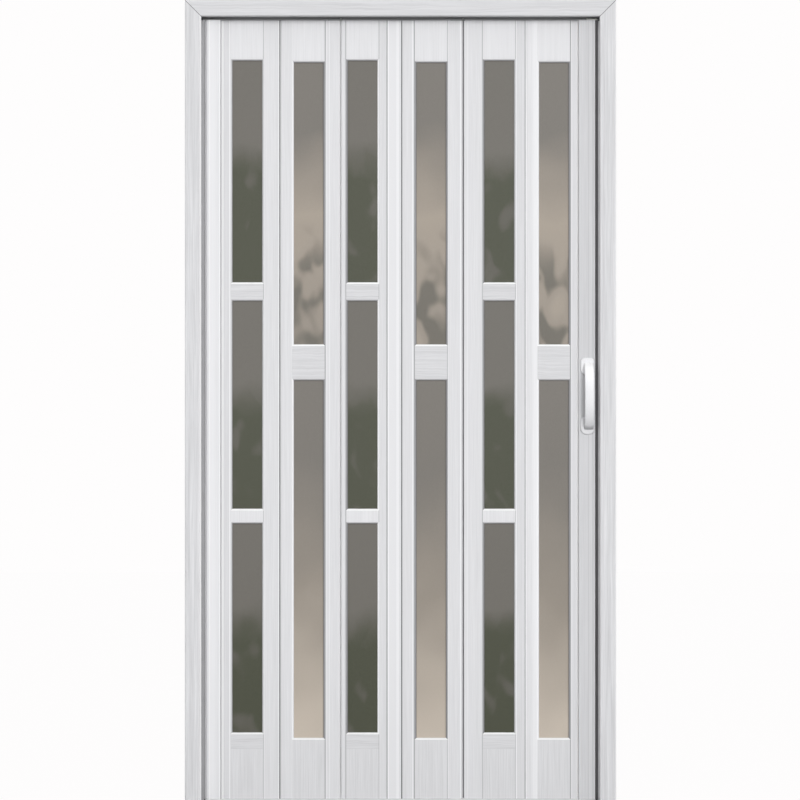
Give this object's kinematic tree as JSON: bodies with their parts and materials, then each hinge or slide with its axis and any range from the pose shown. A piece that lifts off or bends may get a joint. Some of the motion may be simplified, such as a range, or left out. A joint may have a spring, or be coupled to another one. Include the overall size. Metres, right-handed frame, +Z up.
{
  "type": "accordion door",
  "caption": "Folding accordion door: white ash panels with smoked glass windows, soft strip hinges and a lead post on a top track, inside a cased doorway.",
  "frame": {"origin": "on the floor, under the middle of the doorway's width and of its depth between the front and back handles", "axes": "+X to the right seen from the front, towards the handle; +Y through the doorway to the back, where the panels fold out; +Z up"},
  "size_m": [1.1174, 0.112, 2.0845],
  "materials": {
    "lining_ash": "white ash foil over board, satin",
    "casing_ash": "white ash foil over board, satin",
    "profile_ash": "white ash foil over a hollow plastic profile, satin",
    "board_ash": "white ash foil over a hollow plastic board, satin",
    "bead_white": "smooth white bead, satin",
    "smoked_glass": "smoked satin glass, grey bronze",
    "strip_grey": "hinge strip with a flexible grey middle between white wings, matt",
    "seal_dark": "dark magnetic seal, matt",
    "track_grey": "dark grey coated aluminium",
    "channel_grey": "grey coated aluminium",
    "strike_steel": "zinc plated steel strip",
    "screw_steel": "zinc plated screws",
    "handle_white": "smooth white plastic",
    "glider_nylon": "white nylon",
    "bracket_steel": "pressed zinc plated steel"
  },
  "bodies": {
    "frame": {"jamb_left": "lining_ash", "jamb_right": "lining_ash", "head_jamb": "lining_ash", "casing_front_left": "casing_ash", "casing_front_right": "casing_ash", "casing_front_head": "casing_ash", "casing_back": "casing_ash", "top_track": "track_grey", "wall_channel": "channel_grey", "wall_post": "profile_ash", "strike_channel": "channel_grey", "strike_strip": "strike_steel", "frame_screws": "screw_steel", "hinge_strip_0": "strip_grey"},
    "panel_1": {"panel_1_left_stile": "profile_ash", "panel_1_right_stile": "profile_ash", "panel_1_rails": "board_ash", "panel_1_panes": "smoked_glass", "panel_1_beads": "bead_white", "hinge_strip_1": "strip_grey"},
    "panel_2": {"panel_2_left_stile": "profile_ash", "panel_2_right_stile": "profile_ash", "panel_2_rails": "board_ash", "panel_2_panes": "smoked_glass", "panel_2_beads": "bead_white", "hinge_strip_2": "strip_grey", "hanger_bracket_2": "bracket_steel"},
    "panel_3": {"panel_3_left_stile": "profile_ash", "panel_3_right_stile": "profile_ash", "panel_3_rails": "board_ash", "panel_3_panes": "smoked_glass", "panel_3_beads": "bead_white", "hinge_strip_3": "strip_grey"},
    "panel_4": {"panel_4_left_stile": "profile_ash", "panel_4_right_stile": "profile_ash", "panel_4_rails": "board_ash", "panel_4_panes": "smoked_glass", "panel_4_beads": "bead_white", "hinge_strip_4": "strip_grey", "hanger_bracket_4": "bracket_steel"},
    "panel_5": {"panel_5_left_stile": "profile_ash", "panel_5_right_stile": "profile_ash", "panel_5_rails": "board_ash", "panel_5_panes": "smoked_glass", "panel_5_beads": "bead_white", "hinge_strip_5": "strip_grey"},
    "panel_6": {"panel_6_left_stile": "profile_ash", "panel_6_right_stile": "profile_ash", "panel_6_rails": "board_ash", "panel_6_panes": "smoked_glass", "panel_6_beads": "bead_white", "hinge_strip_6": "strip_grey"},
    "lead_post": {"lead_post": "profile_ash", "magnet_seal": "seal_dark", "lead_carrier": "glider_nylon", "handle_front": "handle_white", "handle_back": "handle_white", "handle_screws": "screw_steel"},
    "glider_2": {"glider_2": "glider_nylon"},
    "glider_4": {"glider_4": "glider_nylon"}
  },
  "joints": [
    {"name": "fold_0", "type": "hinge", "parent": "frame", "child": "panel_1", "pos_m": [-0.47625, 0.0056, 1], "axis": [0, 0, 1], "range_deg": [0, 85], "deforming": ["hinge_strip_0"]},
    {"name": "fold_1", "type": "hinge", "parent": "panel_1", "child": "panel_2", "pos_m": [-0.31625, -0.0056, 1], "axis": [0, 0, 1], "range_deg": [-170, 0], "deforming": ["hinge_strip_1"]},
    {"name": "fold_2", "type": "hinge", "parent": "panel_2", "child": "panel_3", "pos_m": [-0.15625, 0.0056, 1], "axis": [0, 0, 1], "range_deg": [0, 170], "deforming": ["hinge_strip_2"]},
    {"name": "fold_3", "type": "hinge", "parent": "panel_3", "child": "panel_4", "pos_m": [0.00375, -0.0056, 1], "axis": [0, 0, 1], "range_deg": [-170, 0], "deforming": ["hinge_strip_3"]},
    {"name": "fold_4", "type": "hinge", "parent": "panel_4", "child": "panel_5", "pos_m": [0.16375, 0.0056, 1], "axis": [0, 0, 1], "range_deg": [0, 170], "deforming": ["hinge_strip_4"]},
    {"name": "fold_5", "type": "hinge", "parent": "panel_5", "child": "panel_6", "pos_m": [0.32375, -0.0056, 1], "axis": [0, 0, 1], "range_deg": [-170, 0], "deforming": ["hinge_strip_5"]},
    {"name": "fold_6", "type": "hinge", "parent": "panel_6", "child": "lead_post", "pos_m": [0.48375, 0.0056, 1], "axis": [0, 0, 1], "range_deg": [0, 85], "deforming": ["hinge_strip_6"]},
    {"name": "glider_2_swivel", "type": "hinge", "parent": "panel_2", "child": "glider_2", "pos_m": [-0.15625, 0.0056, 1], "axis": [0, 0, 1], "range_deg": [0, 85]},
    {"name": "glider_4_swivel", "type": "hinge", "parent": "panel_4", "child": "glider_4", "pos_m": [0.16375, 0.0056, 1], "axis": [0, 0, 1], "range_deg": [0, 85]}
  ],
  "couplings": [
    {"joint": "fold_1", "follows": "fold_0", "ratio": -2},
    {"joint": "fold_2", "follows": "fold_0", "ratio": 2},
    {"joint": "fold_3", "follows": "fold_0", "ratio": -2},
    {"joint": "fold_4", "follows": "fold_0", "ratio": 2},
    {"joint": "fold_5", "follows": "fold_0", "ratio": -2},
    {"joint": "fold_6", "follows": "fold_0", "ratio": 1},
    {"joint": "glider_2_swivel", "follows": "fold_0", "ratio": 1},
    {"joint": "glider_4_swivel", "follows": "fold_0", "ratio": 1}
  ]
}
